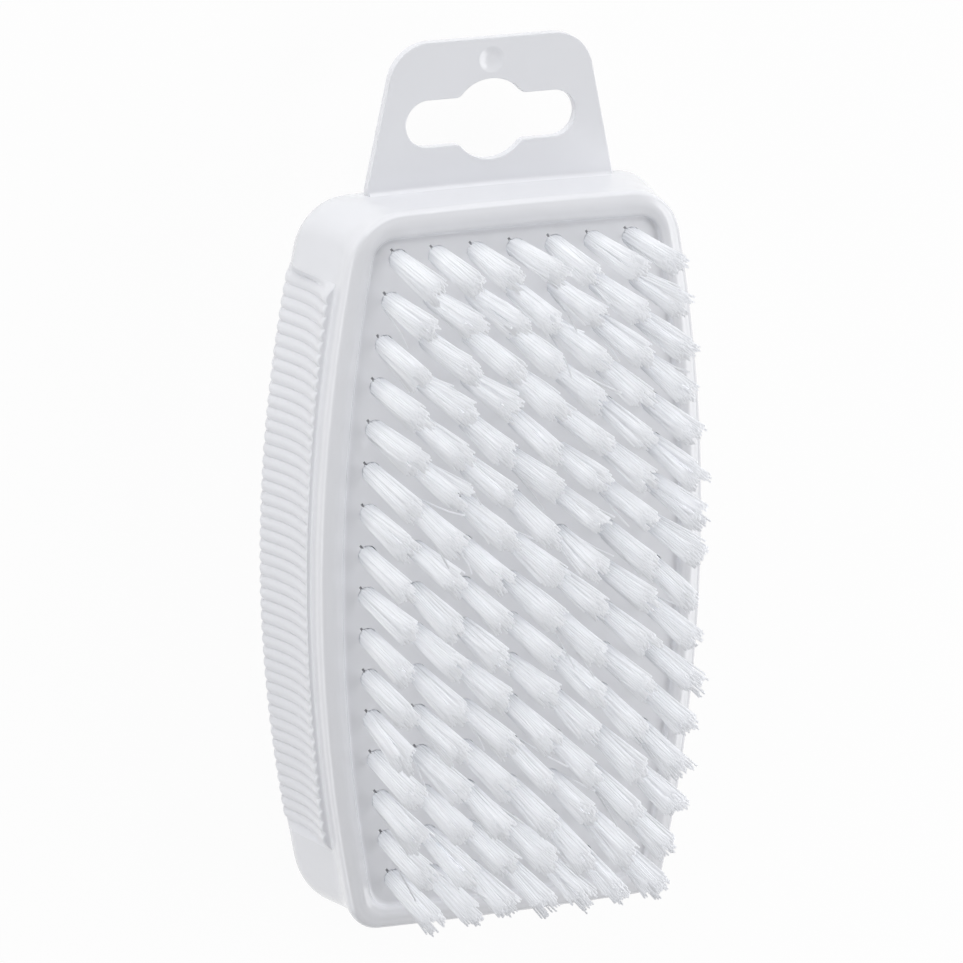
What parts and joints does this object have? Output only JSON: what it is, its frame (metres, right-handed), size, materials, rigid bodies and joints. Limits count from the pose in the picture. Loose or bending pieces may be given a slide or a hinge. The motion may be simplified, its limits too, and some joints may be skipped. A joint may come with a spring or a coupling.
{
  "type": "hand brush",
  "caption": "White plastic hand and nail brush with a recessed bed of nylon tufts, ribbed finger grips on both sides and a slotted hang tab.",
  "frame": {"origin": "middle of the flat back, below the centre of the rim's outline; the brush lies on its back on the plane z = 0", "axes": "+X across the brush, +Y along it towards the hang tab, +Z along the bristles, away from the back"},
  "size_m": [0.058, 0.115, 0.0334],
  "materials": {
    "white_plastic": "semi-gloss moulded polypropylene",
    "grip_plastic": "satin moulded polypropylene, ribbed",
    "bristle_nylon": "translucent bluish white nylon filament"
  },
  "bodies": {
    "root": {"brush_body": "white_plastic", "hang_tab": "white_plastic", "left_grip": "grip_plastic", "right_grip": "grip_plastic", "tuft_row_01": "bristle_nylon", "tuft_row_02": "bristle_nylon", "tuft_row_03": "bristle_nylon", "tuft_row_04": "bristle_nylon", "tuft_row_05": "bristle_nylon", "tuft_row_06": "bristle_nylon", "tuft_row_07": "bristle_nylon", "tuft_row_08": "bristle_nylon", "tuft_row_09": "bristle_nylon", "tuft_row_10": "bristle_nylon", "tuft_row_11": "bristle_nylon", "tuft_row_12": "bristle_nylon", "tuft_row_13": "bristle_nylon", "tuft_row_14": "bristle_nylon", "tuft_row_15": "bristle_nylon", "tuft_row_16": "bristle_nylon"}
  },
  "joints": []
}
